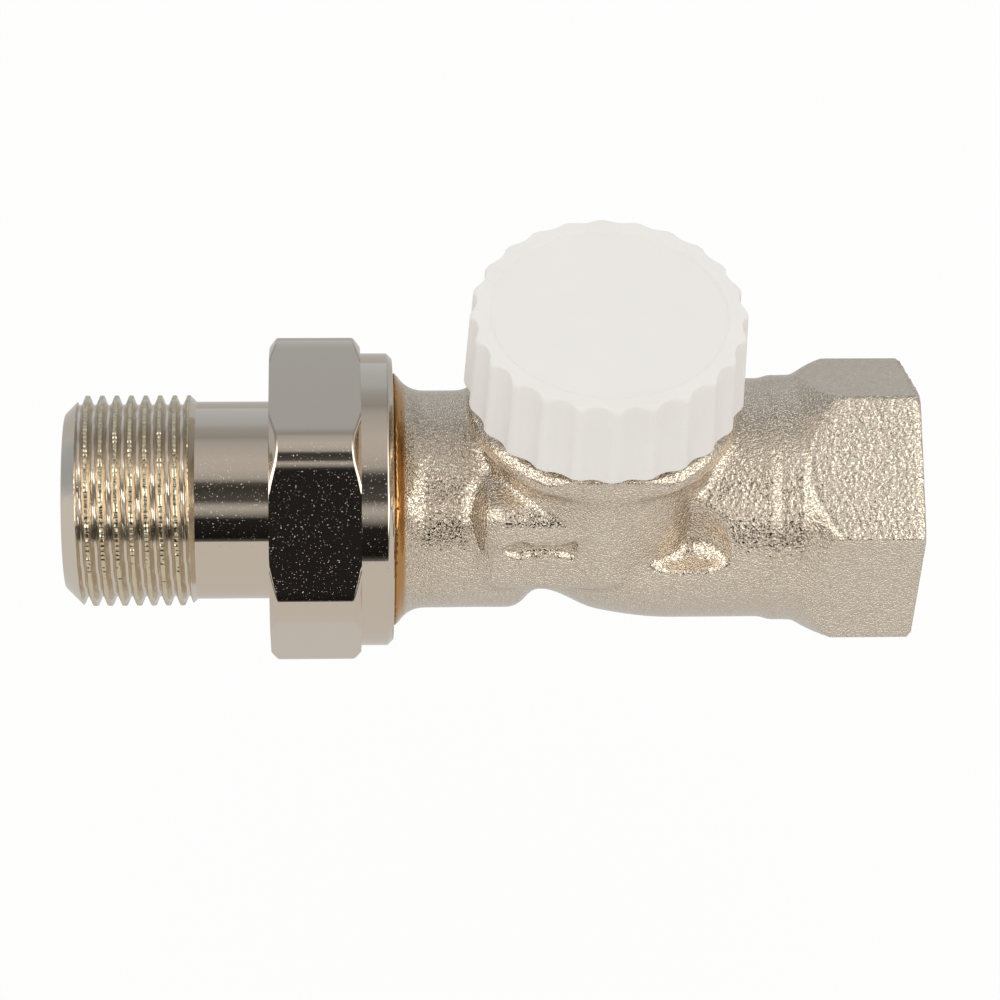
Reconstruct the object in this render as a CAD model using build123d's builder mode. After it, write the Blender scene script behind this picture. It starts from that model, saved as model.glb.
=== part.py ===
from build123d import *
import os
from math import cos, pi, radians, sin, sqrt

# Straight radiator valve with union tail and protective cap. Millimetres.
# The origin is the centre of the pipe socket's mouth, +X points out of that
# socket along the pipe, and +Z points up along the spindle.

# Layout along the pipe and the spindle
overall_length = 106.0
body_length = 74.0
spindle_x = -39.3
fit = 0.05  # radial clearance of turned parts that fit closely
thread_clearance = 0.15  # radial clearance of the threads drawn as plain cylinders

# Pipe socket with hexagon
socket_radius = 12.06
socket_depth = 16.0
hex_flats = 31.6
hex_length = 10.2
hex_cone_length = 4.4
hex_end_chamfer = 0.5

# Forged tubes either side of the waist
inlet_tube_radius = 15.1
inlet_band_radius = 15.5
inlet_band_length = 4.0
inlet_band_ramp = 1.0
outlet_tube_radius = 13.7
outlet_tube_end = 11.7  # from the spindle axis
waist_radius = 11.4
waist_offset = 7.4
belly_radius = 14.0
belly_slope = 0.2
belly_end = 9.3

# Union thread at the outlet end
union_thread_radius = 16.6
union_thread_length = 8.9
union_thread_chamfer = 0.8
union_shoulder_radius = 16.3
union_fillet = 3.6

# Bonnet: bowl, collar with flats, neck with the head thread
bowl_radius = 15.0
bowl_floor = -3.7
bowl_floor_fillet = 5.0
collar_radius = 17.0
collar_half_width = 15.25
collar_height = 2.8
collar_under_fillet = 2.2
collar_chamfer = 1.4
shoulder_z = 19.2
neck_radius = 14.9
neck_length = 7.8
neck_chamfer = 0.8

# Shelf beside the bowl, over the outlet
shelf_length = 15.8  # from the spindle axis
shelf_half_width = 14.8
shelf_top = 12.4
shelf_floor = -2.5
shelf_corner_fillet = 3.2
shelf_top_fillet = 3.0

# Pocket cut down into the inlet tube beside the bowl, on both sides
pocket_offset = 10.3
pocket_y = 16.7
pocket_radius = 6.1
pocket_floor = 2.5
pocket_fillet = 3.5

# Flow arrow sunk in the front wall
arrow_length = 10.0
arrow_width = 3.7
arrow_shaft_width = 1.7
arrow_head_length = 3.8
arrow_depth = 0.9
arrow_centre_offset = 8.4
arrow_z = 6.3

# Waterways
inlet_bore_radius = 9.0
outlet_bore_radius = 9.5
inlet_bore_gap = 2.0  # wall between inlet bore and valve chamber
underpass_radius = 4.6
underpass_z = -6.2
chamber_radius = 10.0
chamber_top = 12.2
seat_z = 1.5
seat_radius = 7.0
seat_thickness = 2.7
sump_radius = 7.2
sump_floor = -10.4
sump_fillet = 4.5
crossover_radius = 5.2
crossover_z = 6.6
insert_bore_radius = 11.0

# Closing parts on the spindle
stroke = 3.5
spindle_radius = 2.5
seal_radius = 8.6
seal_thickness = 2.5
holder_wall = 0.5
holder_plate = 2.0
holder_rim = 1.2
spindle_collar_radius = 3.4
spindle_collar_height = 0.6
washer_radius = 4.6
washer_thickness = 0.8
disc_nut_flats = 7.0
disc_nut_height = 3.4
spindle_thread_end = 0.7
run_clearance = 0.3  # axial room left at the ends of the stroke

# Bonnet insert
insert_floor = 1.5
insert_cavity_radius = 6.5
insert_flange_radius = 12.6
insert_flange_height = 1.0
insert_hex_flats = 19.0
insert_hex_height = 1.2
ring_wire = 0.58
ring_squeeze = 0.02
insert_ring_height = 2.4  # above the chamber's top
groove_width = 1.5

# Return spring and its plate
spring_length = 6.5
spring_wire = 0.9
spring_radius = 4.4
spring_turns = 4.0
spring_plate_radius = 5.8
spring_plate_thickness = 1.0
circlip_radius = 3.7
circlip_thickness = 0.8
circlip_groove = 0.6
circlip_gap_angle = 40.0
spindle_top_land = 0.2

# Stuffing box and push pin
pin_radius = 2.0
closing_height = 11.5  # push pin above the shoulder when closed
pin_tip_chamfer = 0.4
gland_hex_flats = 13.0
gland_hex_height = 1.1
pin_ring_wire = 0.75
retainer_thickness = 0.5
retainer_radius = 4.2
gland_ring_height = 1.4

# Protective cap
cap_height = 11.9
cap_foot_gap = 1.55
cap_foot_radius = 17.25
cap_top_radius = 16.75
cap_flutes = 24
cap_flute_radius = 2.6
cap_flute_depth = 0.75
cap_rim = 0.5
cap_rim_drop = 0.5
cap_recess_radius = 14.5
cap_recess_depth = 0.5
cap_pin_gap = 0.05

# Union nut
nut_flats = 37.0
nut_hex_length = 11.3
nut_collar_length = 4.0
nut_collar_radius = 18.4
nut_corner_rounding = 5.0
nut_corner_chamfer = 1.5
nut_collar_chamfer = 0.7
nut_edge_radius = 19.2
nut_hole_radius = 13.4
nut_clock_angle = 54.8
nut_foot_gap = 0.35  # between the nut's collar and the body's shoulder

# Pipe threads of socket and tail, and the union thread, drawn as rings
pipe_thread_pitch = 1.814
pipe_thread_depth = 1.16
union_thread_pitch = 2.309
union_thread_depth = 1.2
thread_land = 0.3
thread_root_land = 0.3

# Tail piece
tail_thread_radius = 13.22
tail_thread_length = 15.6
tail_lead_chamfer = 2.3
tail_shank_radius = 12.4
tail_bore_radius = 9.0
tail_collar_radius = 15.9
tail_collar_length = 3.4
tail_seat_cone = 1.8
tail_seat_radius = 12.6
seat_cone_gap = 0.1

# Levels and stations that follow from the sizes above
neck_top = shoulder_z + neck_length
union_end_x = -body_length
union_shoulder_x = union_end_x + union_thread_length
fillet_rise = union_shoulder_radius - outlet_tube_radius
fillet_run = sqrt(union_fillet**2 - (union_fillet - fillet_rise) ** 2)
union_step_x = union_shoulder_x + nut_foot_gap
outlet_tube_x = union_step_x + fillet_run
waist_x = spindle_x - waist_offset
cone_start_x = -hex_length - hex_cone_length
hex_corner_radius = hex_flats / 2 / cos(pi / 6)
seal_top = seat_z + seal_thickness
holder_top = seal_top + holder_plate
insert_bottom = holder_top + spindle_collar_height + stroke + run_clearance
spring_seat = insert_bottom + insert_floor
plate_bottom = spring_seat + spring_length
circlip_bottom = plate_bottom + spring_plate_thickness
circlip_top = circlip_bottom + circlip_thickness
spindle_top = circlip_top + spindle_top_land
gland_bottom = spindle_top + stroke + run_clearance
insert_top = neck_top + insert_flange_height + insert_hex_height
pin_top = shoulder_z + closing_height
spindle_axis = Axis((spindle_x, 0, 0), (0, 0, 1))


def upright_profile(*points):
    """Closed outline of radius and height pairs, drawn beside the spindle axis."""
    Polygon(*[(spindle_x + radius, height) for radius, height in points], align=None)


def thread_rings(start, end, crest, root, pitch):
    """Stations and radii of a thread between two stations, its grooves drawn as rings."""
    way = 1 if end > start else -1
    first = start + way * thread_land
    flank = (pitch - thread_land - thread_root_land) / 2
    outline = []
    for groove in range(int(abs(end - first) / pitch)):
        mouth = first + way * groove * pitch
        far = mouth + way * (pitch - thread_land)
        outline += [(mouth, crest), (mouth + way * flank, root), (far - way * flank, root), (far, crest)]
    return outline


def ring_profile(ring_radius, wire, height):
    """Round section of a sealing ring around the spindle axis."""
    with Locations((spindle_x + ring_radius, height)):
        Circle(wire)


# Socket hexagon, corners up and down, turned to a cone where it meets the tube
with BuildPart() as socket_hex:
    with BuildSketch(Plane.YZ):
        RegularPolygon(hex_corner_radius, 6, rotation=90)
    extrude(amount=-(hex_length + hex_cone_length))
    with BuildSketch(Plane.XZ):
        with BuildLine():
            Polyline(
                (cone_start_x, 0),
                (cone_start_x, inlet_band_radius),
                (-hex_length, hex_corner_radius),
                (-hex_end_chamfer, hex_corner_radius),
                (0, hex_corner_radius - hex_end_chamfer),
                (0, 0),
                close=True,
            )
        make_face()
    revolve(axis=Axis.X, mode=Mode.INTERSECT)

# Bonnet outside, its collar flattened at the front and the back
with BuildPart() as bonnet:
    under_rise = collar_radius - bowl_radius
    under_run = sqrt(collar_under_fillet**2 - (collar_under_fillet - under_rise) ** 2)
    collar_bottom = shoulder_z - collar_height
    with BuildSketch(Plane.XZ):
        with BuildLine():
            Polyline(
                (spindle_x, bowl_floor),
                (spindle_x + bowl_radius - bowl_floor_fillet, bowl_floor),
            )
            RadiusArc(
                (spindle_x + bowl_radius - bowl_floor_fillet, bowl_floor),
                (spindle_x + bowl_radius, bowl_floor + bowl_floor_fillet),
                -bowl_floor_fillet,
            )
            Line(
                (spindle_x + bowl_radius, bowl_floor + bowl_floor_fillet),
                (spindle_x + bowl_radius, collar_bottom - under_run),
            )
            RadiusArc(
                (spindle_x + bowl_radius, collar_bottom - under_run),
                (spindle_x + collar_radius, collar_bottom),
                collar_under_fillet,
            )
            Polyline(
                (spindle_x + collar_radius, collar_bottom),
                (spindle_x + collar_radius, shoulder_z - collar_chamfer),
                (spindle_x + collar_radius - collar_chamfer, shoulder_z),
                (spindle_x + neck_radius, shoulder_z),
                (spindle_x + neck_radius, neck_top - neck_chamfer),
                (spindle_x + neck_radius - neck_chamfer, neck_top),
                (spindle_x, neck_top),
                (spindle_x, bowl_floor),
            )
        make_face()
    revolve(axis=spindle_axis)
    with Locations((spindle_x, 0, bowl_floor)):
        Box(
            2 * collar_radius,
            2 * collar_half_width,
            neck_top - bowl_floor,
            align=(Align.CENTER, Align.CENTER, Align.MIN),
            mode=Mode.INTERSECT,
        )

# Shelf over the outlet, nearly level with the bowl's front and back walls
with BuildPart() as outlet_shelf:
    with Locations((spindle_x - shelf_length, 0, shelf_floor)):
        Box(
            shelf_length,
            2 * shelf_half_width,
            shelf_top - shelf_floor,
            align=(Align.MIN, Align.CENTER, Align.MIN),
        )
    far_edges = outlet_shelf.edges().filter_by(Axis.Z).group_by(Axis.X)[0]
    fillet(far_edges, shelf_corner_fillet)
    top_edges = outlet_shelf.faces().sort_by(Axis.Z)[-1].edges()
    fillet(top_edges.sort_by(Axis.X)[:-1], shelf_top_fillet)
    floor_edges = outlet_shelf.faces().sort_by(Axis.Z)[0].edges()
    fillet(floor_edges.filter_by(Axis.X), shelf_corner_fillet)

# Upright cut that leaves the pocket beside the bowl
with BuildPart() as pocket_cut:
    with BuildSketch(Plane((0, 0, pocket_floor))):
        Circle(pocket_radius)
    extrude(amount=inlet_tube_radius)
    fillet(pocket_cut.edges().sort_by(Axis.Z)[0], pocket_fillet)

# Forged body in one piece
with BuildPart() as valve_body:
    with BuildSketch(Plane.XZ):
        with BuildLine():
            Polyline(
                (union_end_x, 0),
                (union_end_x, union_thread_radius - union_thread_chamfer),
                (union_end_x + union_thread_chamfer, union_thread_radius),
                *thread_rings(
                    union_end_x + union_thread_chamfer,
                    union_shoulder_x,
                    union_thread_radius,
                    union_thread_radius - union_thread_depth,
                    union_thread_pitch,
                ),
                (union_shoulder_x, union_thread_radius),
                (union_shoulder_x, union_shoulder_radius),
                (union_step_x, union_shoulder_radius),
            )
            RadiusArc(
                (union_step_x, union_shoulder_radius),
                (outlet_tube_x, outlet_tube_radius),
                -union_fillet,
            )
            Line(
                (outlet_tube_x, outlet_tube_radius),
                (spindle_x - outlet_tube_end, outlet_tube_radius),
            )
            Spline(
                (spindle_x - outlet_tube_end, outlet_tube_radius),
                (waist_x, waist_radius),
                (spindle_x, belly_radius),
                (spindle_x + belly_end, inlet_tube_radius),
                tangents=[(1, 0), (1, 0), (1, belly_slope), (1, 0)],
            )
            Polyline(
                (spindle_x + belly_end, inlet_tube_radius),
                (cone_start_x - inlet_band_length, inlet_tube_radius),
                (cone_start_x - inlet_band_length + inlet_band_ramp, inlet_band_radius),
                (cone_start_x, inlet_band_radius),
                (cone_start_x, 0),
                (union_end_x, 0),
            )
        make_face()
    revolve(axis=Axis.X)

    # Pockets, front and back, then the bowl that closes their inner sides
    for side in (-1, 1):
        with Locations((spindle_x + pocket_offset, side * pocket_y, 0)):
            add(pocket_cut.part, mode=Mode.SUBTRACT)
    add(socket_hex.part)
    add(bonnet.part)
    add(outlet_shelf.part)

    # Flow arrow, tip towards the outlet
    front_wall = Plane((spindle_x - arrow_centre_offset, -shelf_half_width, arrow_z), (1, 0, 0), (0, -1, 0))
    with BuildSketch(front_wall):
        with BuildLine():
            tip_x = -arrow_length / 2
            neck_x = tip_x + arrow_head_length
            tail_x = arrow_length / 2
            Polyline(
                (tip_x, 0),
                (neck_x, arrow_width / 2),
                (neck_x, arrow_shaft_width / 2),
                (tail_x - arrow_head_length / 2, arrow_shaft_width / 2),
                (tail_x, arrow_width / 2),
                (tail_x, -arrow_width / 2),
                (tail_x - arrow_head_length / 2, -arrow_shaft_width / 2),
                (neck_x, -arrow_shaft_width / 2),
                (neck_x, -arrow_width / 2),
                close=True,
            )
        make_face()
    extrude(amount=-arrow_depth, mode=Mode.SUBTRACT)

    # Pipe socket and inlet bore, up to the wall of the valve chamber
    inlet_bore_end = spindle_x + chamber_radius + inlet_bore_gap
    with BuildSketch(Plane.XZ):
        with BuildLine():
            Polyline(
                (0, 0),
                (0, socket_radius),
                *thread_rings(
                    0,
                    -socket_depth,
                    socket_radius,
                    socket_radius + pipe_thread_depth,
                    pipe_thread_pitch,
                ),
                (-socket_depth, socket_radius),
                (-socket_depth - socket_radius + inlet_bore_radius, inlet_bore_radius),
                (inlet_bore_end, inlet_bore_radius),
                (inlet_bore_end, 0),
                close=True,
            )
        make_face()
    revolve(axis=Axis.X, mode=Mode.SUBTRACT)

    # Way under the seat
    with BuildSketch(Plane.YZ.offset(inlet_bore_end)):
        with Locations((0, underpass_z)):
            Circle(underpass_radius)
    extrude(amount=-(inlet_bore_end - spindle_x), mode=Mode.SUBTRACT)
    with BuildSketch(Plane.XZ):
        with BuildLine():
            Polyline(
                (spindle_x, sump_floor),
                (spindle_x + sump_radius - sump_fillet, sump_floor),
            )
            RadiusArc(
                (spindle_x + sump_radius - sump_fillet, sump_floor),
                (spindle_x + sump_radius, sump_floor + sump_fillet),
                -sump_fillet,
            )
            Polyline(
                (spindle_x + sump_radius, sump_floor + sump_fillet),
                (spindle_x + sump_radius, seat_z - seat_thickness),
                (spindle_x, seat_z - seat_thickness),
                (spindle_x, sump_floor),
            )
        make_face()
    revolve(axis=spindle_axis, mode=Mode.SUBTRACT)

    # Seat, chamber and the bore for the insert
    with BuildSketch(Plane.XZ):
        upright_profile(
            (0, seat_z - seat_thickness),
            (seat_radius, seat_z - seat_thickness),
            (seat_radius, seat_z),
            (chamber_radius, seat_z),
            (chamber_radius, chamber_top),
            (insert_bore_radius, chamber_top),
            (insert_bore_radius, neck_top),
            (0, neck_top),
        )
    revolve(axis=spindle_axis, mode=Mode.SUBTRACT)

    # Way from the chamber to the union end, with the seat for the tail
    with BuildSketch(Plane.YZ.offset(spindle_x)):
        with Locations((0, crossover_z)):
            Circle(crossover_radius)
    extrude(amount=-(outlet_tube_end + crossover_radius / 2), mode=Mode.SUBTRACT)
    with BuildSketch(Plane.XZ):
        with BuildLine():
            Polyline(
                (union_end_x, 0),
                (union_end_x, tail_seat_radius),
                (union_end_x + tail_seat_radius - outlet_bore_radius, outlet_bore_radius),
                (spindle_x - outlet_tube_end, outlet_bore_radius),
                (spindle_x - outlet_tube_end, 0),
                close=True,
            )
        make_face()
    revolve(axis=Axis.X, mode=Mode.SUBTRACT)

# Bonnet insert, seated on the neck by its flange
insert_radius = insert_bore_radius - fit
insert_groove_z = chamber_top + insert_ring_height
groove_depth = 2 * ring_wire - ring_squeeze
with BuildPart() as insert_housing:
    with BuildSketch(Plane.XZ):
        upright_profile(
            (spindle_radius + fit, insert_bottom),
            (chamber_radius - fit, insert_bottom),
            (chamber_radius - fit, chamber_top),
            (insert_radius, chamber_top),
            (insert_radius, insert_groove_z),
            (insert_bore_radius - groove_depth - 2 * ring_squeeze, insert_groove_z),
            (insert_bore_radius - groove_depth - 2 * ring_squeeze, insert_groove_z + groove_width),
            (insert_radius, insert_groove_z + groove_width),
            (insert_radius, neck_top),
            (insert_flange_radius, neck_top),
            (insert_flange_radius, neck_top + insert_flange_height),
            (insert_cavity_radius, neck_top + insert_flange_height),
            (insert_cavity_radius, spring_seat),
            (spindle_radius + fit, spring_seat),
        )
    revolve(axis=spindle_axis)
    with BuildSketch(Plane((spindle_x, 0, neck_top + insert_flange_height))):
        RegularPolygon(insert_hex_flats / 2, 6, major_radius=False)
        Circle(insert_cavity_radius, mode=Mode.SUBTRACT)
    extrude(amount=insert_hex_height)

with BuildPart() as insert_o_ring:
    with BuildSketch(Plane.XZ):
        ring_profile(
            insert_bore_radius - ring_squeeze - ring_wire,
            ring_wire,
            insert_groove_z + groove_width / 2,
        )
    revolve(axis=spindle_axis)

# Stuffing box: stem in the insert, hexagon on top, two rings around the pin
gland_radius = insert_cavity_radius - fit
gland_groove_z = gland_bottom + gland_ring_height
pin_ring_bore = pin_radius + 2 * pin_ring_wire + fit
pin_rings_z = gland_bottom + retainer_thickness
pin_rings_height = 4 * pin_ring_wire + 2 * fit
gland_groove_floor = insert_cavity_radius - groove_depth - 2 * ring_squeeze
with BuildPart() as gland_nut:
    with BuildSketch(Plane.XZ):
        upright_profile(
            (retainer_radius, gland_bottom),
            (gland_radius, gland_bottom),
            (gland_radius, gland_groove_z),
            (gland_groove_floor, gland_groove_z),
            (gland_groove_floor, gland_groove_z + groove_width),
            (gland_radius, gland_groove_z + groove_width),
            (gland_radius, insert_top),
            (pin_radius + fit, insert_top),
            (pin_radius + fit, pin_rings_z + pin_rings_height),
            (pin_ring_bore, pin_rings_z + pin_rings_height),
            (pin_ring_bore, pin_rings_z),
            (retainer_radius, pin_rings_z),
        )
    revolve(axis=spindle_axis)
    with BuildSketch(Plane((spindle_x, 0, insert_top))):
        RegularPolygon(gland_hex_flats / 2, 6, major_radius=False)
        Circle(pin_radius + fit, mode=Mode.SUBTRACT)
    extrude(amount=gland_hex_height)

with BuildPart() as gland_outer_o_ring:
    with BuildSketch(Plane.XZ):
        ring_profile(
            insert_cavity_radius - ring_squeeze - ring_wire,
            ring_wire,
            gland_groove_z + groove_width / 2,
        )
    revolve(axis=spindle_axis)

with BuildPart() as pin_o_rings:
    for row in range(2):
        with BuildSketch(Plane.XZ):
            ring_profile(
                pin_radius + pin_ring_wire + ring_squeeze,
                pin_ring_wire,
                pin_rings_z + pin_ring_wire + row * (2 * pin_ring_wire + fit) + ring_squeeze,
            )
        revolve(axis=spindle_axis)

with BuildPart() as gland_retainer:
    with BuildSketch(Plane((spindle_x, 0, gland_bottom))):
        Circle(retainer_radius)
        Circle(pin_radius + fit, mode=Mode.SUBTRACT)
    extrude(amount=retainer_thickness)

with BuildPart() as push_pin:
    with BuildSketch(Plane.XZ):
        upright_profile(
            (0, spindle_top),
            (pin_radius, spindle_top),
            (pin_radius, pin_top - pin_tip_chamfer),
            (pin_radius - pin_tip_chamfer, pin_top),
            (0, pin_top),
        )
    revolve(axis=spindle_axis)

# Spindle with its collar above the disc and the circlip's groove
washer_bottom = seat_z - washer_thickness
disc_nut_bottom = washer_bottom - disc_nut_height
groove_floor = spindle_radius - circlip_groove
with BuildPart() as spindle:
    with BuildSketch(Plane.XZ):
        upright_profile(
            (0, disc_nut_bottom - spindle_thread_end),
            (spindle_radius, disc_nut_bottom - spindle_thread_end),
            (spindle_radius, holder_top),
            (spindle_collar_radius, holder_top),
            (spindle_collar_radius, holder_top + spindle_collar_height),
            (spindle_radius, holder_top + spindle_collar_height),
            (spindle_radius, circlip_bottom),
            (groove_floor, circlip_bottom),
            (groove_floor, circlip_top),
            (spindle_radius, circlip_top),
            (spindle_radius, spindle_top),
            (0, spindle_top),
        )
    revolve(axis=spindle_axis)

with BuildPart() as circlip:
    with BuildSketch(Plane((spindle_x, 0, circlip_bottom))):
        Circle(circlip_radius)
        Circle(groove_floor + fit, mode=Mode.SUBTRACT)
        with BuildLine():
            half_gap = radians(circlip_gap_angle / 2)
            Polyline(
                (0, 0),
                (2 * circlip_radius * cos(half_gap), 2 * circlip_radius * sin(half_gap)),
                (2 * circlip_radius * cos(half_gap), -2 * circlip_radius * sin(half_gap)),
                close=True,
            )
        make_face(mode=Mode.SUBTRACT)
    extrude(amount=circlip_thickness)

with BuildPart() as spring_plate:
    with BuildSketch(Plane((spindle_x, 0, plate_bottom))):
        Circle(spring_plate_radius)
        Circle(spindle_radius + fit, mode=Mode.SUBTRACT)
    extrude(amount=spring_plate_thickness)

# Return spring, compressed between the insert's floor and its plate
coil_height = spring_length - spring_wire - 4 * fit
with BuildPart() as return_spring:
    with BuildLine(Plane((spindle_x, 0, spring_seat + spring_wire / 2 + 2 * fit))) as coil:
        Helix(coil_height / spring_turns, coil_height, spring_radius)
    with BuildSketch(Plane(coil.line @ 0, z_dir=coil.line % 0)):
        Circle(spring_wire / 2)
    sweep(path=coil.line, is_frenet=True)

# Cup that holds the sealing disc
with BuildPart() as disc_holder:
    with BuildSketch(Plane.XZ):
        upright_profile(
            (spindle_radius + fit, seal_top),
            (seal_radius + fit, seal_top),
            (seal_radius + fit, seal_top - holder_rim),
            (seal_radius + holder_wall, seal_top - holder_rim),
            (seal_radius + holder_wall, holder_top),
            (spindle_radius + fit, holder_top),
        )
    revolve(axis=spindle_axis)

with BuildPart() as seal_disc:
    with BuildSketch(Plane((spindle_x, 0, seat_z))):
        Circle(seal_radius)
        Circle(spindle_radius + fit, mode=Mode.SUBTRACT)
    extrude(amount=seal_thickness)

with BuildPart() as clamp_washer:
    with BuildSketch(Plane((spindle_x, 0, washer_bottom))):
        Circle(washer_radius)
        Circle(spindle_radius + fit, mode=Mode.SUBTRACT)
    extrude(amount=washer_thickness)

with BuildPart() as disc_nut:
    with BuildSketch(Plane((spindle_x, 0, disc_nut_bottom))):
        RegularPolygon(disc_nut_flats / 2, 6, major_radius=False)
        Circle(spindle_radius + fit, mode=Mode.SUBTRACT)
    extrude(amount=disc_nut_height)

# Protective cap: tapered skirt with concave flutes, sloping rim, threaded inside
cap_foot = shoulder_z + cap_foot_gap
cap_top = cap_foot + cap_height
cap_ceiling = pin_top + cap_pin_gap
with BuildPart() as cap_flute:
    flute_reach = cap_flute_radius - cap_flute_depth
    for level, skirt_radius in ((cap_foot, cap_foot_radius), (cap_top, cap_top_radius)):
        with BuildSketch(Plane((skirt_radius + flute_reach, 0, level))):
            Circle(cap_flute_radius)
    loft()

with BuildPart() as protective_cap:
    with BuildSketch(Plane.XZ):
        upright_profile(
            (0, cap_foot),
            (cap_foot_radius, cap_foot),
            (cap_top_radius, cap_top - cap_rim_drop),
            (cap_top_radius - cap_rim, cap_top),
            (cap_recess_radius, cap_top),
            (cap_recess_radius - cap_recess_depth, cap_top - cap_recess_depth),
            (0, cap_top - cap_recess_depth),
        )
    revolve(axis=spindle_axis)
    with Locations((spindle_x, 0, 0)):
        with PolarLocations(0, cap_flutes, 180 / cap_flutes):
            add(cap_flute.part, mode=Mode.SUBTRACT)
    with BuildSketch(Plane((spindle_x, 0, cap_foot))):
        Circle(neck_radius + thread_clearance)
    extrude(amount=cap_ceiling - cap_foot, mode=Mode.SUBTRACT)

# Tail piece: outside thread, shank, collar under the nut and seat cone
tail_end_x = -overall_length
tail_thread_x = tail_end_x + tail_thread_length
tail_collar_x = union_end_x - seat_cone_gap
thread_runout = tail_thread_radius - tail_shank_radius
with BuildPart() as tail_piece:
    with BuildSketch(Plane.XZ):
        with BuildLine():
            Polyline(
                (tail_end_x, tail_bore_radius),
                (tail_end_x, tail_thread_radius - tail_lead_chamfer),
                (tail_end_x + tail_lead_chamfer, tail_thread_radius),
                *thread_rings(
                    tail_end_x + tail_lead_chamfer,
                    tail_thread_x,
                    tail_thread_radius,
                    tail_thread_radius - pipe_thread_depth,
                    pipe_thread_pitch,
                ),
                (tail_thread_x, tail_thread_radius),
                (tail_thread_x + thread_runout, tail_shank_radius),
                (tail_collar_x - tail_collar_length, tail_shank_radius),
                (tail_collar_x - tail_collar_length, tail_collar_radius),
                (tail_collar_x, tail_collar_radius),
                (tail_collar_x, tail_seat_radius),
                (tail_collar_x + tail_seat_cone, tail_seat_radius - tail_seat_cone),
                (tail_collar_x + tail_seat_cone, tail_bore_radius),
                close=True,
            )
        make_face()
    revolve(axis=Axis.X)

# Union nut: hexagon with rounded-off corners, round collar, thread over the body's
nut_collar_end = union_shoulder_x
nut_collar_x = nut_collar_end - nut_collar_length
nut_face_x = nut_collar_x - nut_hex_length
nut_corner_radius = nut_flats / 2 / cos(pi / 6)
nut_pocket_x = tail_collar_x - tail_collar_length - fit
nut_thread_radius = union_thread_radius + thread_clearance
with BuildPart() as nut_hexagon:
    with BuildSketch(Plane.YZ.offset(nut_face_x)) as nut_outline:
        RegularPolygon(nut_corner_radius, 6, rotation=nut_clock_angle)
        fillet(nut_outline.vertices(), nut_corner_rounding)
    extrude(amount=nut_hex_length)
    with BuildSketch(Plane.XZ):
        with BuildLine():
            Polyline(
                (nut_face_x, 0),
                (nut_face_x, nut_edge_radius),
                (nut_face_x + nut_corner_chamfer, nut_corner_radius),
                (nut_collar_x - nut_corner_chamfer, nut_corner_radius),
                (nut_collar_x, nut_edge_radius),
                (nut_collar_x, 0),
                close=True,
            )
        make_face()
    revolve(axis=Axis.X, mode=Mode.INTERSECT)

with BuildPart() as union_nut:
    add(nut_hexagon.part)
    with BuildSketch(Plane.XZ):
        with BuildLine():
            Polyline(
                (nut_collar_x, 0),
                (nut_collar_x, nut_collar_radius),
                (nut_collar_end - nut_collar_chamfer, nut_collar_radius),
                (nut_collar_end, nut_collar_radius - nut_collar_chamfer),
                (nut_collar_end, 0),
                close=True,
            )
        make_face()
    revolve(axis=Axis.X)
    with BuildSketch(Plane.XZ):
        with BuildLine():
            Polyline(
                (nut_face_x, 0),
                (nut_face_x, nut_hole_radius),
                (nut_pocket_x, nut_hole_radius),
                (nut_pocket_x, nut_thread_radius),
                (nut_collar_end, nut_thread_radius),
                (nut_collar_end, 0),
                close=True,
            )
        make_face()
    revolve(axis=Axis.X, mode=Mode.SUBTRACT)

pieces = {
    "valve_body": valve_body,
    "union_nut": union_nut,
    "tail_piece": tail_piece,
    "protective_cap": protective_cap,
    "insert_housing": insert_housing,
    "insert_o_ring": insert_o_ring,
    "gland_nut": gland_nut,
    "gland_outer_o_ring": gland_outer_o_ring,
    "pin_o_rings": pin_o_rings,
    "gland_retainer": gland_retainer,
    "push_pin": push_pin,
    "spindle": spindle,
    "circlip": circlip,
    "spring_plate": spring_plate,
    "return_spring": return_spring,
    "disc_holder": disc_holder,
    "seal_disc": seal_disc,
    "clamp_washer": clamp_washer,
    "disc_nut": disc_nut,
}
os.makedirs("parts", exist_ok=True)
for name, piece in pieces.items():
    piece.part.label = name
    export_step(piece.part, f"parts/{name}.step")
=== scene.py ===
from math import ceil, cos, hypot, pi, radians, sin

import bmesh
import bpy
from mathutils import Matrix, Vector


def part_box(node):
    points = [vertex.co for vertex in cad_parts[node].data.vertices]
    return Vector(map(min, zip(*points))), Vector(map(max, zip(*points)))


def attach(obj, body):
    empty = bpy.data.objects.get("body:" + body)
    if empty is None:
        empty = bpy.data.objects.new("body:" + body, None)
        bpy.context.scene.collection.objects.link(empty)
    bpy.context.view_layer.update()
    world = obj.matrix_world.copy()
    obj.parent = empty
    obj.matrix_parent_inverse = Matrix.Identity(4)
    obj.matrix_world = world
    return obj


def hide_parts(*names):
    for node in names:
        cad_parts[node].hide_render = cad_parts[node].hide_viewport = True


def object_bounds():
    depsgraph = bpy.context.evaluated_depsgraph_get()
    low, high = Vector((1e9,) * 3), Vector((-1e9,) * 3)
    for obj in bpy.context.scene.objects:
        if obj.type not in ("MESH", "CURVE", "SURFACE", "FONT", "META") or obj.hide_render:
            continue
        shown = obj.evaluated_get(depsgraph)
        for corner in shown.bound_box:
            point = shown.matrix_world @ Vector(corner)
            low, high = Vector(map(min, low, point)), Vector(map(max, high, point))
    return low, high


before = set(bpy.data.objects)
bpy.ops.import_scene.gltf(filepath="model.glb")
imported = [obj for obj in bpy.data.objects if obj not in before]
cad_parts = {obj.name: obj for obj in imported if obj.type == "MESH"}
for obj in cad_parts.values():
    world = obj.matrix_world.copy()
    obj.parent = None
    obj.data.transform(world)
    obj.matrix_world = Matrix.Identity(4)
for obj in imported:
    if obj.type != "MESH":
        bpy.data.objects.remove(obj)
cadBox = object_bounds()
mm = 0.001
mathNode = "ShaderNodeMath"


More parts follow.
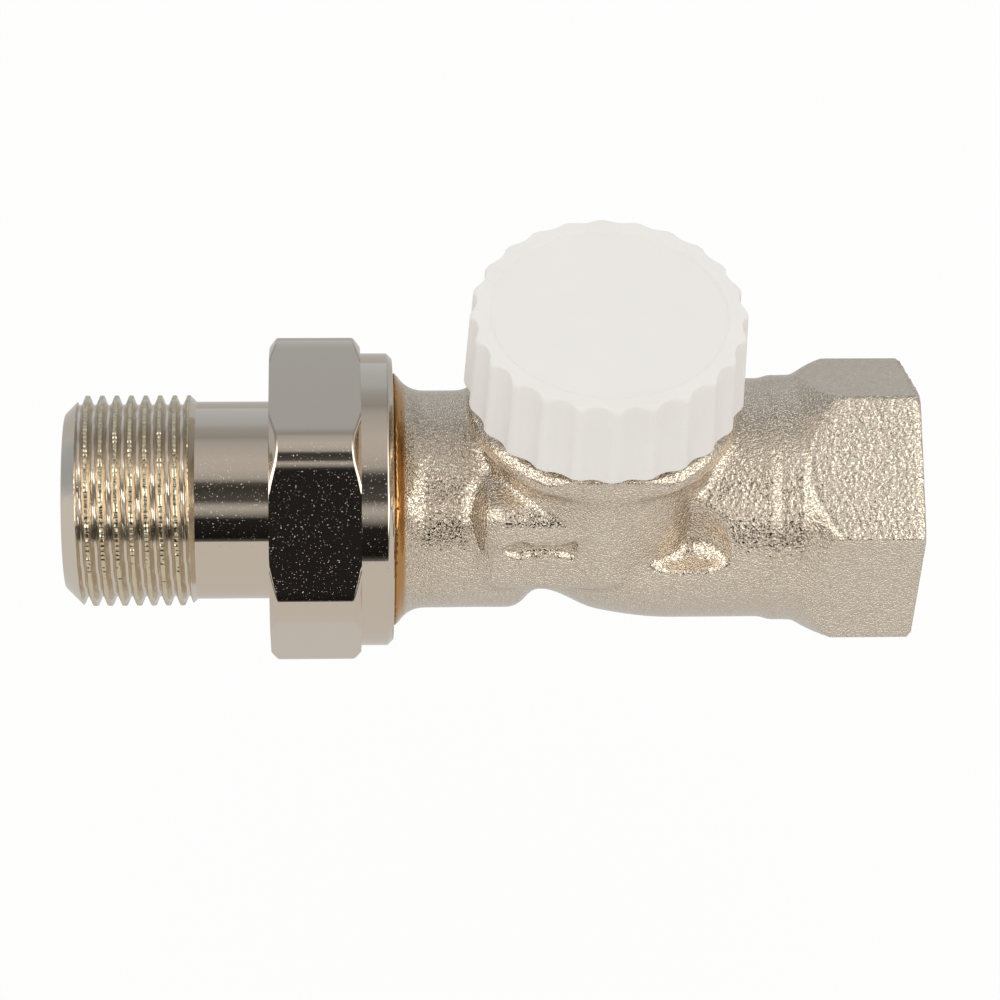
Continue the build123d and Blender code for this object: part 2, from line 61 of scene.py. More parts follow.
# adds one node with its settings; an input may be a value, a node or a socket
def addNode(tree, kind, inputs=(), **settings):
    node = tree.nodes.new(kind)
    for key, value in settings.items():
        setattr(node, key, value)
    pairs = inputs.items() if isinstance(inputs, dict) else enumerate(inputs)
    for key, value in pairs:
        if isinstance(value, bpy.types.Node):
            value = value.outputs[0]
        if isinstance(value, bpy.types.NodeSocket):
            tree.links.new(value, node.inputs[key])
        elif value is not None:
            node.inputs[key].default_value = value
    return node


def linear(hexColour):
    channels = [int(hexColour[i:i + 2], 16) / 255 for i in (1, 3, 5)]
    return [c / 12.92 if c <= 0.04045 else ((c + 0.055) / 1.055) ** 2.4 for c in channels] + [1.0]


def startMaterial(name):
    material = bpy.data.materials.new(name)
    material.use_nodes = True
    tree = material.node_tree
    tree.nodes.clear()
    place = addNode(tree, "ShaderNodeTexCoord").outputs["Object"]
    return material, tree, place


def finishMaterial(tree, inputs):
    shader = addNode(tree, "ShaderNodeBsdfPrincipled", inputs)
    addNode(tree, "ShaderNodeOutputMaterial", [shader])


# Materials

# the darker grey for the grain's hollows is painted shade, not a colour of the plate
forgedLook = dict(
    nickel="#ddd0bf", shade="#d5c7b3", pitShade="#ccbfab", brass="#bd8d55", patch=9.0, roughness=0.07,
    grain=0.25, grainDetail=0.8, grainRoughness=0.6, grainHeight=0.15, crater=(0.36, 0.56), craterHeight=0.6,
    pit=0.5, pitHeight=0.35, hollow=(0.45, 0.25), depth=0.17, brassEdge=-63.75, brassBlur=0.25,
)


# Shot-blasted brass forging under bright nickel plate: a peened skin that glitters where the
# reflection changes and looks plain warm grey where it mirrors the floor. The ring that the union
# thread was cut to is bare brass. The blasted grain is drawn a little coarse, so that it shows,
# and its hollows are painted a darker grey: painted shade in the pits.
def forgedNickel(look):
    material, tree, place = startMaterial("forgedNickelPlate")
    peening = addNode(tree, "ShaderNodeTexNoise", {
        "Vector": place, "Scale": 1 / (look["grain"] * mm), "Detail": look["grainDetail"],
        "Roughness": look["grainRoughness"]})
    pits = addNode(tree, "ShaderNodeTexVoronoi", {
        "Vector": place, "Scale": 1 / (look["pit"] * mm)}, feature="SMOOTH_F1")
    craters = addNode(tree, "ShaderNodeMapRange", {
        "Value": peening, "From Min": look["crater"][0], "From Max": look["crater"][1],
        "To Max": look["craterHeight"]}, interpolation_type="SMOOTHSTEP")
    fine = addNode(tree, mathNode, [peening, look["grainHeight"], craters], operation="MULTIPLY_ADD")
    height = addNode(tree, mathNode, [pits, look["pitHeight"], fine], operation="MULTIPLY_ADD")
    along = addNode(tree, "ShaderNodeSeparateXYZ", [place])
    plated = addNode(tree, "ShaderNodeMapRange", {
        "Value": along, "From Min": (look["brassEdge"] - look["brassBlur"]) * mm,
        "From Max": (look["brassEdge"] + look["brassBlur"]) * mm})
    bump = addNode(tree, "ShaderNodeBump", {
        "Strength": plated, "Distance": look["depth"] * mm, "Height": height})
    patches = addNode(tree, "ShaderNodeTexNoise", {
        "Vector": place, "Scale": 1 / (look["patch"] * mm), "Detail": 3.0})
    plateTone = addNode(tree, "ShaderNodeMix", {0: patches, 6: linear(look["nickel"]), 7: linear(look["shade"])},
                    data_type="RGBA")
    # painted shade: where the grain is low, the plate is painted a darker grey, as shade in the pits
    hollowShade = addNode(tree, "ShaderNodeMapRange", {
        "Value": peening, "From Min": look["hollow"][0], "From Max": look["hollow"][1]})
    plate = addNode(tree, "ShaderNodeMix", {0: hollowShade, 6: plateTone.outputs[2], 7: linear(look["pitShade"])},
                    data_type="RGBA")
    colour = addNode(tree, "ShaderNodeMix", {0: plated, 6: linear(look["brass"]), 7: plate.outputs[2]},
                     data_type="RGBA")
    finishMaterial(tree, {
        "Base Color": colour.outputs[2], "Normal": bump, "Metallic": 1.0, "Roughness": look["roughness"]})
    return material


turnedLook = dict(
    nickel="#d9cbba", line=0.14, run=5.0, lineDepth=0.0025, speck=0.2, speckDepth=0.01, nick=(0.675, 0.8),
    roughness=0.02, roughnessSpread=0.04,
    threadNickel="#e0d5c5", wornBrass="#dccfb3", wornFrom=12.95, wornTo=13.15, threadEnd=-89.6,
    threadDulling=0.12,
)


# Brass turned on a lathe and nickel plated: fine rings around the axis, a few specks and nicks,
# and mirror-like bands of light and dark. The tail's thread is duller and its crests are worn to brass.
# The tool marks are finer on a real part and are drawn coarse enough to show.
def turnedNickel(look):
    material, tree, place = startMaterial("turnedNickelPlate")
    rings = addNode(tree, "ShaderNodeTexNoise", {
        "Vector": addNode(tree, "ShaderNodeMapping", {
            "Vector": place, "Scale": [1 / (look["line"] * mm)] + [1 / (look["run"] * mm)] * 2}),
        "Scale": 1.0, "Detail": 2.0})
    specks = addNode(tree, "ShaderNodeTexNoise", {
        "Vector": place, "Scale": 1 / (look["speck"] * mm), "Detail": 3.0})
    nicks = addNode(tree, "ShaderNodeMapRange", {
        "Value": specks, "From Min": look["nick"][0], "From Max": look["nick"][1]})
    fine = addNode(tree, "ShaderNodeBump", {
        "Strength": 1.0, "Distance": look["lineDepth"] * mm, "Height": rings})
    bump = addNode(tree, "ShaderNodeBump", {
        "Strength": 1.0, "Distance": look["speckDepth"] * mm, "Height": nicks, "Normal": fine})
    axis = addNode(tree, "ShaderNodeSeparateXYZ", [place]).outputs
    squares = [addNode(tree, mathNode, [axis[name], 2.0], operation="POWER") for name in "YZ"]
    radius = addNode(tree, mathNode, [addNode(tree, mathNode, squares, operation="ADD")], operation="SQRT")
    onThread = addNode(tree, mathNode, [axis["X"], look["threadEnd"] * mm], operation="LESS_THAN")
    crest = addNode(tree, "ShaderNodeMapRange", {
        "Value": radius, "From Min": look["wornFrom"] * mm, "From Max": look["wornTo"] * mm})
    thread = addNode(tree, "ShaderNodeMix", {
        0: crest, 6: linear(look["threadNickel"]), 7: linear(look["wornBrass"])}, data_type="RGBA")
    colour = addNode(tree, "ShaderNodeMix", {
        0: onThread, 6: linear(look["nickel"]), 7: thread.outputs[2]}, data_type="RGBA")
    rough = addNode(tree, "ShaderNodeMapRange", {
        "Value": rings, "To Min": look["roughness"], "To Max": look["roughness"] + look["roughnessSpread"]})
    dulled = addNode(tree, mathNode, [onThread, look["threadDulling"], rough], operation="MULTIPLY_ADD")
    finishMaterial(tree, {
        "Base Color": colour.outputs[2], "Normal": bump, "Metallic": 1.0, "Roughness": dulled})
    return material


capLook = dict(
    white="#ebe8e3", cloud="#e6e3dd", grain=0.3, depth=0.004, cloudSize=7.0, roughness=0.6,
    ior=1.49, glow=0.1, glowDepth=1.5, glowTint=(1.0, 0.95, 0.85),
)


# Moulded polypropylene: warm white and waxy, light goes a little way in, so that edges look soft,
# with a faint spark-eroded grain and soft clouds.
def whitePlastic(look):
    material, tree, place = startMaterial("mouldedWhitePlastic")
    clouds = addNode(tree, "ShaderNodeTexNoise", {"Vector": place, "Scale": 1 / (look["cloudSize"] * mm)})
    colour = addNode(tree, "ShaderNodeMix", {0: clouds, 6: linear(look["white"]), 7: linear(look["cloud"])},
                     data_type="RGBA")
    grain = addNode(tree, "ShaderNodeTexNoise", {
        "Vector": place, "Scale": 1 / (look["grain"] * mm), "Detail": 3.0})
    bump = addNode(tree, "ShaderNodeBump", {
        "Strength": 1.0, "Distance": look["depth"] * mm, "Height": grain})
    finishMaterial(tree, {
        "Base Color": colour.outputs[2], "Normal": bump, "Roughness": look["roughness"], "IOR": look["ior"],
        "Subsurface Weight": look["glow"], "Subsurface Radius": look["glowTint"],
        "Subsurface Scale": look["glowDepth"] * mm})
    return material


innerLooks = dict(
    plainBrass=dict(
        colour="#c9a15f", tint="#b78b48", metallic=1.0, roughness=0.28, grain=0.25, depth=0.006),
    stainlessSteel=dict(
        colour="#b9b8b4", tint="#a6a5a2", metallic=1.0, roughness=0.25, grain=0.2, depth=0.004),
    blackRubber=dict(
        colour="#1d1c1b", tint="#262524", metallic=0.0, roughness=0.65, grain=0.4, depth=0.01),
)


# Turned brass, stainless wire and moulded rubber inside: fine tool marks or a dull grain.
def innerFinish(name, look):
    material, tree, place = startMaterial(name)
    grain = addNode(tree, "ShaderNodeTexNoise", {
        "Vector": place, "Scale": 1 / (look["grain"] * mm), "Detail": 3.0})
    colour = addNode(tree, "ShaderNodeMix", {0: grain, 6: linear(look["colour"]), 7: linear(look["tint"])},
                     data_type="RGBA")
    bump = addNode(tree, "ShaderNodeBump", {
        "Strength": 1.0, "Distance": look["depth"] * mm, "Height": grain})
    finishMaterial(tree, {
        "Base Color": colour.outputs[2], "Normal": bump, "Metallic": look["metallic"],
        "Roughness": look["roughness"]})
    return material


forgedFinish = forgedNickel(forgedLook)
turnedFinish = turnedNickel(turnedLook)
plasticFinish = whitePlastic(capLook)
innerFinishes = {name: innerFinish(name, look) for name, look in innerLooks.items()}
print("materials done")


# Shared shaping

def roundCorners(points, radii, steps=4):
    outline = []
    for index, corner in enumerate(points):
        radius = radii.get(index, 0)
        if not radius:
            outline.append(corner)
            continue
        here = Vector(corner)
        before = (Vector(points[index - 1]) - here).normalized()
        after = (Vector(points[(index + 1) % len(points)]) - here).normalized()
        half = before.angle(after) / 2
        reach = radius / sin(half) * cos(half)
        centre = here + (before + after).normalized() * (radius / sin(half))
        start, end = here + before * reach - centre, here + after * reach - centre
        for step in range(steps + 1):
            ray = start.lerp(end, step / steps).normalized() * radius
            outline.append(tuple(centre + ray))
    return outline


# more stations along the long runs of an outline
def refine(points, spacing):
    outline = []
    for (x0, r0), (x1, r1) in zip(points, points[1:] + points[:1]):
        count = max(1, ceil(hypot(x1 - x0, r1 - r0) / spacing))
        outline += [(x0 + (x1 - x0) * k / count, r0 + (r1 - r0) * k / count) for k in range(count)]
    return outline


# turns a closed outline of stations and radii, in mm, around the X axis
def lathe(name, outline, columns, weld=0.0005):
    rows = len(outline)
    shell = bmesh.new()
    for column in range(columns):
        angle = 2 * pi * column / columns
        for station, radius in outline:
            shell.verts.new((station * mm, radius * cos(angle) * mm, radius * sin(angle) * mm))
    shell.verts.ensure_lookup_table()
    for column in range(columns):
        here, beside = column * rows, (column + 1) % columns * rows
        for row in range(rows):
            following = (row + 1) % rows
            if max(outline[row][1], outline[following][1]) > 0:
                corners = (here + row, here + following, beside + following, beside + row)
                shell.faces.new([shell.verts[corner] for corner in corners])
    bmesh.ops.remove_doubles(shell, verts=shell.verts, dist=weld * mm)
    bmesh.ops.recalc_face_normals(shell, faces=shell.faces)
    mesh = bpy.data.meshes.new(name)
    shell.to_mesh(mesh)
    shell.free()
    obj = bpy.data.objects.new(name, mesh)
    bpy.context.scene.collection.objects.link(obj)
    return obj


def bakeModifiers(obj):
    depsgraph = bpy.context.evaluated_depsgraph_get()
    mesh = bpy.data.meshes.new_from_object(obj.evaluated_get(depsgraph))
    obj.modifiers.clear()
    old = obj.data
    obj.data = mesh
    mesh.name = obj.name
    bpy.data.meshes.remove(old)


def shapeByNodes(obj, tree, sizes, finish):
    modifier = obj.modifiers.new(tree.name, "NODES")
    modifier.node_group = tree
    for item in tree.interface.items_tree:
        if item.in_out == "INPUT" and item.name in sizes:
            modifier[item.identifier] = sizes[item.name]
        if item.in_out == "INPUT" and item.name == "finish":
            modifier[item.identifier] = finish
    bakeModifiers(obj)


def smoothShade(obj, sharpAngle):
    obj.data.polygons.foreach_set("use_smooth", [True] * len(obj.data.polygons))
    obj.data.set_sharp_from_angle(angle=radians(sharpAngle))


# a piece turned around X, stood up on the spindle axis
def standUp(obj, spindleX):
    obj.data.transform(Matrix.Translation((spindleX * mm, 0, 0)) @ Matrix.Rotation(radians(-90), 4, "Y"))


def assignTo(obj, body, slot, *nodes):
    if nodes:
        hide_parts(*nodes)
    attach(obj, body)


# a tree with named size inputs, the polar place of each point, and a closing step that sets its radius
def startTree(name, sizeNames):
    tree = bpy.data.node_groups.new(name, "GeometryNodeTree")
    tree.interface.new_socket("Geometry", in_out="INPUT", socket_type="NodeSocketGeometry")
    for sizeName in sizeNames:
        tree.interface.new_socket(sizeName, in_out="INPUT", socket_type="NodeSocketFloat")
    tree.interface.new_socket("finish", in_out="INPUT", socket_type="NodeSocketMaterial")
    tree.interface.new_socket("Geometry", in_out="OUTPUT", socket_type="NodeSocketGeometry")
    sizes = addNode(tree, "NodeGroupInput").outputs
    point = addNode(tree, "ShaderNodeSeparateXYZ", [addNode(tree, "GeometryNodeInputPosition")]).outputs
    turn = addNode(tree, mathNode, [point["Z"], point["Y"]], operation="ARCTAN2")
    squares = [addNode(tree, mathNode, [point[axis], 2.0], operation="POWER") for axis in "YZ"]
    radius = addNode(tree, mathNode, [addNode(tree, mathNode, squares, operation="ADD")], operation="SQRT")
    return tree, sizes, point, turn, radius


def finishTree(tree, sizes, point, turn, newRadius):
    across = addNode(tree, mathNode, [newRadius, addNode(tree, mathNode, [turn], operation="COSINE")],
                     operation="MULTIPLY")
    up = addNode(tree, mathNode, [newRadius, addNode(tree, mathNode, [turn], operation="SINE")],
                 operation="MULTIPLY")
    moved = addNode(tree, "GeometryNodeSetPosition", {
        "Geometry": sizes["Geometry"],
        "Position": addNode(tree, "ShaderNodeCombineXYZ", [point["X"], across, up])})
    whole = addNode(tree, "GeometryNodeRealizeInstances", [moved])
    painted = addNode(tree, "GeometryNodeSetMaterial", {"Geometry": whole, "Material": sizes["finish"]})
    addNode(tree, "NodeGroupOutput", [painted])
    return tree


crestWear = dict(perMm=1.1, noise=(0.35, 0.65), depth=(0.2, 1.4), notchFrom=-0.2)


# Screw thread: a V groove along a right-hand helix, with flat crests that may be notched unevenly.
# side is 1 for an outside thread and -1 for one inside a bore.
def threadTree(wear):
    tree, sizes, point, turn, radius = startTree("screwThread", [
        "side", "pitch", "crestRadius", "depth", "crestStation", "crestShare", "rootShare",
        "from", "to", "fade", "notches", "notchDepth"])
    turns = addNode(tree, mathNode, [turn, 2 * pi], operation="DIVIDE")
    advance = addNode(tree, mathNode, [
        addNode(tree, mathNode, [point["X"], sizes["crestStation"]], operation="SUBTRACT"),
        sizes["pitch"]], operation="DIVIDE")
    phase = addNode(tree, mathNode, [
        addNode(tree, mathNode, [advance, turns], operation="SUBTRACT"), 0.5], operation="PINGPONG")
    fromCrest = addNode(tree, mathNode, [phase, 2.0], operation="MULTIPLY")  # 0 at a crest, 1 at a root
    groove = addNode(tree, "ShaderNodeMapRange", {
        "Value": fromCrest, "From Min": sizes["crestShare"],
        "From Max": addNode(tree, mathNode, [1.0, sizes["rootShare"]], operation="SUBTRACT")})
    fadeIn = addNode(tree, "ShaderNodeMapRange", {
        "Value": point["X"], "From Min": sizes["from"],
        "From Max": addNode(tree, mathNode, [sizes["from"], sizes["fade"]], operation="ADD")})
    fadeOut = addNode(tree, "ShaderNodeMapRange", {
        "Value": point["X"], "From Max": sizes["to"],
        "From Min": addNode(tree, mathNode, [sizes["to"], sizes["fade"]], operation="SUBTRACT"),
        "To Min": 1.0, "To Max": 0.0})
    window = addNode(tree, mathNode, [fadeIn, fadeOut], operation="MULTIPLY")
    ripple = addNode(tree, mathNode, [
        addNode(tree, mathNode, [turn, sizes["notches"]], operation="MULTIPLY")], operation="COSINE")
    uneven = addNode(tree, "ShaderNodeMapRange", {
        "Value": addNode(tree, "ShaderNodeTexNoise", {"Scale": wear["perMm"] / mm}),
        "From Min": wear["noise"][0], "From Max": wear["noise"][1],
        "To Min": wear["depth"][0], "To Max": wear["depth"][1]})
    notch = addNode(tree, "ShaderNodeMapRange", {
        "Value": ripple, "From Min": wear["notchFrom"], "From Max": 1.0,
        "To Max": addNode(tree, mathNode, [sizes["notchDepth"], uneven], operation="MULTIPLY")})
    crestOnly = addNode(tree, mathNode, [1.0, groove], operation="SUBTRACT")
    cut = addNode(tree, mathNode, [
        addNode(tree, mathNode, [groove, sizes["depth"]], operation="MULTIPLY"),
        addNode(tree, mathNode, [notch, crestOnly], operation="MULTIPLY")], operation="ADD")
    cut = addNode(tree, mathNode, [cut, window], operation="MULTIPLY")
    signedCrest = addNode(tree, mathNode, [sizes["crestRadius"], sizes["side"]], operation="MULTIPLY")
    signedRadius = addNode(tree, mathNode, [radius, sizes["side"]], operation="MULTIPLY")
    lowered = addNode(tree, mathNode, [signedCrest, cut], operation="SUBTRACT")
    threaded = addNode(tree, mathNode, [
        addNode(tree, mathNode, [signedRadius, lowered], operation="MINIMUM"), sizes["side"]],
        operation="MULTIPLY")
    change = addNode(tree, mathNode, [threaded, radius], operation="SUBTRACT")
    within = addNode(tree, mathNode, [window, 0.0], operation="GREATER_THAN")
    newRadius = addNode(tree, mathNode, [change, within, radius], operation="MULTIPLY_ADD")
    return finishTree(tree, sizes, point, turn, newRadius)


# Hexagon with rounded corners milled over a turned blank, up to the station where the collar starts
def hexagonTree():
    tree, sizes, point, turn, radius = startTree("hexagonFlats", [
        "apothem", "corner", "rounding", "to", "edge"])
    aside = addNode(tree, mathNode, [
        addNode(tree, mathNode, [turn, sizes["corner"]], operation="SUBTRACT"), 0.0, radians(60)],
        operation="WRAP")
    fromFlat = addNode(tree, mathNode, [
        addNode(tree, mathNode, [aside, radians(30)], operation="SUBTRACT")], operation="ABSOLUTE")
    flat = addNode(tree, mathNode, [
        sizes["apothem"], addNode(tree, mathNode, [fromFlat], operation="COSINE")], operation="DIVIDE")
    centre = addNode(tree, mathNode, [
        addNode(tree, mathNode, [sizes["apothem"], sizes["rounding"]], operation="SUBTRACT"),
        cos(radians(30))], operation="DIVIDE")
    fromCorner = addNode(tree, mathNode, [radians(30), fromFlat], operation="SUBTRACT")
    across = addNode(tree, mathNode, [
        centre, addNode(tree, mathNode, [fromCorner], operation="SINE")], operation="MULTIPLY")
    along = addNode(tree, mathNode, [
        centre, addNode(tree, mathNode, [fromCorner], operation="COSINE")], operation="MULTIPLY")
    inside = addNode(tree, mathNode, [
        addNode(tree, mathNode, [sizes["rounding"], 2.0], operation="POWER"),
        addNode(tree, mathNode, [across, 2.0], operation="POWER")], operation="SUBTRACT")
    halfChord = addNode(tree, mathNode, [
        addNode(tree, mathNode, [inside, 0.0], operation="MAXIMUM")], operation="SQRT")
    arc = addNode(tree, mathNode, [along, halfChord], operation="ADD")
    aheadOfArc = addNode(tree, mathNode, [
        addNode(tree, mathNode, [fromFlat], operation="TANGENT"), sizes["apothem"]], operation="MULTIPLY")
    onArc = addNode(tree, mathNode, [
        aheadOfArc, addNode(tree, mathNode, [centre, sin(radians(30))], operation="MULTIPLY")],
        operation="GREATER_THAN")
    step = addNode(tree, mathNode, [arc, flat], operation="SUBTRACT")
    outline = addNode(tree, mathNode, [step, onArc, flat], operation="MULTIPLY_ADD")
    beyond = addNode(tree, mathNode, [point["X"], sizes["to"]], operation="GREATER_THAN")
    reach = addNode(tree, mathNode, [outline, beyond], operation="ADD")
    newRadius = addNode(tree, mathNode, [radius, reach, sizes["edge"]], operation="SMOOTH_MIN")
    return finishTree(tree, sizes, point, turn, newRadius)


# Round flutes around a skirt that narrows upwards
def fluteTree():
    tree, sizes, point, turn, radius = startTree("gripFlutes", [
        "count", "fluteRadius", "fluteDepth", "footStation", "footRadius", "taper", "edge"])
    share = addNode(tree, mathNode, [2 * pi, sizes["count"]], operation="DIVIDE")
    aside = addNode(tree, mathNode, [turn, 0.0, share], operation="WRAP")
    fromFlute = addNode(tree, mathNode, [
        aside, addNode(tree, mathNode, [share, 2.0], operation="DIVIDE")], operation="SUBTRACT")
    climb = addNode(tree, mathNode, [point["X"], sizes["footStation"]], operation="SUBTRACT")
    skirt = addNode(tree, mathNode, [
        sizes["footRadius"], addNode(tree, mathNode, [climb, sizes["taper"]], operation="MULTIPLY")],
        operation="SUBTRACT")
    centre = addNode(tree, mathNode, [
        skirt, addNode(tree, mathNode, [sizes["fluteRadius"], sizes["fluteDepth"]], operation="SUBTRACT")],
        operation="ADD")
    sideways = addNode(tree, mathNode, [
        centre, addNode(tree, mathNode, [fromFlute], operation="SINE")], operation="MULTIPLY")
    inside = addNode(tree, mathNode, [
        addNode(tree, mathNode, [sizes["fluteRadius"], 2.0], operation="POWER"),
        addNode(tree, mathNode, [sideways, 2.0], operation="POWER")], operation="SUBTRACT")
    halfChord = addNode(tree, mathNode, [
        addNode(tree, mathNode, [inside, 0.0], operation="MAXIMUM")], operation="SQRT")
    reach = addNode(tree, mathNode, [
        addNode(tree, mathNode, [centre, addNode(tree, mathNode, [fromFlute], operation="COSINE")],
                operation="MULTIPLY"), halfChord], operation="SUBTRACT")
    newRadius = addNode(tree, mathNode, [radius, reach, sizes["edge"]], operation="SMOOTH_MIN")
    return finishTree(tree, sizes, point, turn, newRadius)


threadCutter = threadTree(crestWear)
hexagonCutter = hexagonTree()
fluteCutter = fluteTree()
noNotches = dict(notches=0.0, notchDepth=0.0)


# Tail piece

tail = dict(
    threadRadius=13.22, threadLength=15.6, leadChamfer=2.3, shankRadius=12.4, boreRadius=9.0,
    collarRadius=15.9, collarLength=3.4, seatCone=1.8, seatRadius=12.6,
    pitch=1.814, threadDepth=1.16, crestStation=-103.25, crestAngle=43.0, crestShare=0.26, rootShare=0.2,
    runOut=0.9, notches=126, notchDepth=0.1, columnsPerNotch=3, step=0.103, edge=0.25,
    fineReach=1.0, sharp=35.0,
)


def makeTail(size):
    low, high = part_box("tail_piece")
    end, cone = low.x / mm, high.x / mm
    threadEnd = end + size["threadLength"]
    collarEnd = cone - size["seatCone"]
    collarStart = collarEnd - size["collarLength"]
    runOut = size["threadRadius"] - size["shankRadius"]
    outline = [
        (end, size["boreRadius"]),
        (end, size["threadRadius"] - size["leadChamfer"]),
        (end + size["leadChamfer"], size["threadRadius"]),
        (threadEnd, size["threadRadius"]),
        (threadEnd + runOut, size["shankRadius"]),
        (collarStart, size["shankRadius"]),
        (collarStart, size["collarRadius"]),
        (collarEnd, size["collarRadius"]),
        (collarEnd, size["seatRadius"]),
        (cone, size["seatRadius"] - size["seatCone"]),
        (cone, size["boreRadius"]),
    ]
    rounded = roundCorners(outline, {0: size["edge"], 1: size["edge"], 6: size["edge"], 7: size["edge"]})
    # fine stations on the thread and beside the collar only
    outline = []
    for point in refine(rounded, size["step"]):
        station, radius = point
        outside = radius > size["boreRadius"] + size["edge"]
        onThread = end < station < threadEnd + runOut + size["fineReach"]
        atCollar = abs(station - collarStart) < size["fineReach"]
        if point in rounded or outside and (onThread or atCollar):
            outline.append(point)
    obj = lathe("tailPiece", outline, size["notches"] * size["columnsPerNotch"])
    shapeByNodes(obj, threadCutter, {
        "side": 1.0, "pitch": size["pitch"] * mm, "crestRadius": size["threadRadius"] * mm,
        "depth": size["threadDepth"] * mm, "crestShare": size["crestShare"], "rootShare": size["rootShare"],
        "crestStation": (size["crestStation"] - size["pitch"] * size["crestAngle"] / 360) * mm,
        "from": (end - size["runOut"]) * mm, "to": (threadEnd + runOut) * mm, "fade": size["runOut"] * mm,
        "notches": float(size["notches"]), "notchDepth": size["notchDepth"] * mm}, turnedFinish)
    smoothShade(obj, size["sharp"])
    assignTo(obj, "tail", "turned_nickel", "tail_piece")


makeTail(tail)
print("tail piece done")


# Union nut

nut = dict(
    flats=37.0, rounding=5.0, hexLength=11.3, collarRadius=18.4, cornerChamfer=1.5, collarChamfer=0.7,
    edgeRadius=19.2, holeRadius=13.4, threadRadius=16.75, cornerAngle=54.8, columns=360, step=0.25, edge=0.3,
    hexEdge=0.3, hexOver=0.01, pitch=2.309, threadDepth=1.1, threadFlat=0.14, threadGap=0.1, threadFade=0.5,
    shelfGap=0.05, sharp=32.0,
)


def makeNut(size):
    low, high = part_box("union_nut")
    face, end = low.x / mm, high.x / mm
    collar = face + size["hexLength"]
    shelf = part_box("tail_piece")[1].x / mm - tail["seatCone"] - tail["collarLength"] - size["shelfGap"]
    corner = size["flats"] / 2 / cos(radians(30))
    outline = [
        (face, size["holeRadius"]),
        (face, size["edgeRadius"]),
        (face + size["cornerChamfer"], corner),
        (collar - size["cornerChamfer"], corner),
        (collar, size["edgeRadius"]),
        (collar, size["collarRadius"]),
        (end - size["collarChamfer"], size["collarRadius"]),
        (end, size["collarRadius"] - size["collarChamfer"]),
        (end, size["threadRadius"]),
        (shelf, size["threadRadius"]),
        (shelf, size["holeRadius"]),
    ]
    rounded = roundCorners(outline, {0: size["edge"], 1: size["edge"], 6: size["edge"], 7: size["edge"]})
    obj = lathe("unionNut", refine(rounded, size["step"]), size["columns"])
    shapeByNodes(obj, hexagonCutter, {
        "apothem": size["flats"] / 2 * mm, "corner": radians(size["cornerAngle"]),
        "rounding": size["rounding"] * mm, "to": (collar + size["hexOver"]) * mm,
        "edge": size["hexEdge"] * mm}, turnedFinish)
    shapeByNodes(obj, threadCutter, {
        "side": -1.0, "pitch": size["pitch"] * mm, "crestRadius": size["threadRadius"] * mm,
        "depth": size["threadDepth"] * mm, "crestShare": size["threadFlat"], "rootShare": size["threadFlat"],
        "crestStation": end * mm, "from": (shelf + size["threadGap"]) * mm,
        "to": (end + size["threadFade"]) * mm, "fade": size["threadFade"] * mm, **noNotches}, turnedFinish)
    smoothShade(obj, size["sharp"])
    assignTo(obj, "nut", "turned_nickel", "union_nut")


makeNut(nut)
print("union nut done")


# Protective cap

cap = dict(
    footRadius=17.25, topRadius=16.75, recessRadius=14.5, recessDepth=0.25, boreRadius=15.05, roof=1.9,
    flutes=24, fluteRadius=2.6, fluteDepth=0.75, fluteEdge=0.5, columns=480, step=0.6,
    footEdge=0.5, topEdge=0.75, recessEdge=0.3, boreEdge=0.3, sharp=40.0,
)
capLow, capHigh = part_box("protective_cap")
spindleX = (capLow.x + capHigh.x) / 2 / mm


def makeCap(size):
    foot, top = capLow.z / mm, capHigh.z / mm
    plate = top - size["recessDepth"]
    outline = [
        (foot, size["boreRadius"]),
        (foot, size["footRadius"]),
        (top, size["topRadius"]),
        (top, size["recessRadius"]),
        (plate, size["recessRadius"] - size["recessDepth"]),
        (plate, 0.0),
        (top - size["roof"], 0.0),
        (top - size["roof"], size["boreRadius"]),
    ]
    rounded = roundCorners(outline, {
        0: size["boreEdge"], 1: size["footEdge"], 2: size["topEdge"], 3: size["recessEdge"],
        4: size["recessEdge"]})
    obj = lathe("protectiveCap", refine(rounded, size["step"]), size["columns"])
    shapeByNodes(obj, fluteCutter, {
        "count": float(size["flutes"]), "fluteRadius": size["fluteRadius"] * mm,
        "fluteDepth": size["fluteDepth"] * mm, "footStation": foot * mm,
        "footRadius": size["footRadius"] * mm, "edge": size["fluteEdge"] * mm,
        "taper": (size["footRadius"] - size["topRadius"]) / (top - foot)}, plasticFinish)
    standUp(obj, spindleX)
    smoothShade(obj, size["sharp"])
    assignTo(obj, "cap", "white_plastic", "protective_cap")


makeCap(cap)
print("protective cap done")


# Valve body: the solid with its machined zones cleared for the threads, softened like a forging

body = dict(
    weld=0.001, voxel=0.46, softness=0.5, rounds=2, softRounds=50, softSlope=2.0, softFrom=11.6, sharp=180.0,
    # middle and reach of each zone that runs out softly
    softZones=[((-55.1, 0.0, 0.0), (3.2, 20.0, 20.0)), ((-39.3, 0.0, 15.2), (22.0, 22.0, 3.6))],
    unionLength=8.9, unionRoot=15.2, neckLength=7.8, neckRoot=13.6, neckRadius=14.9,
    socketDepth=16.0, socketRadius=12.06, socketRoot=13.5, socketThread=1.16, margin=0.05, socketMargin=0.1,
)


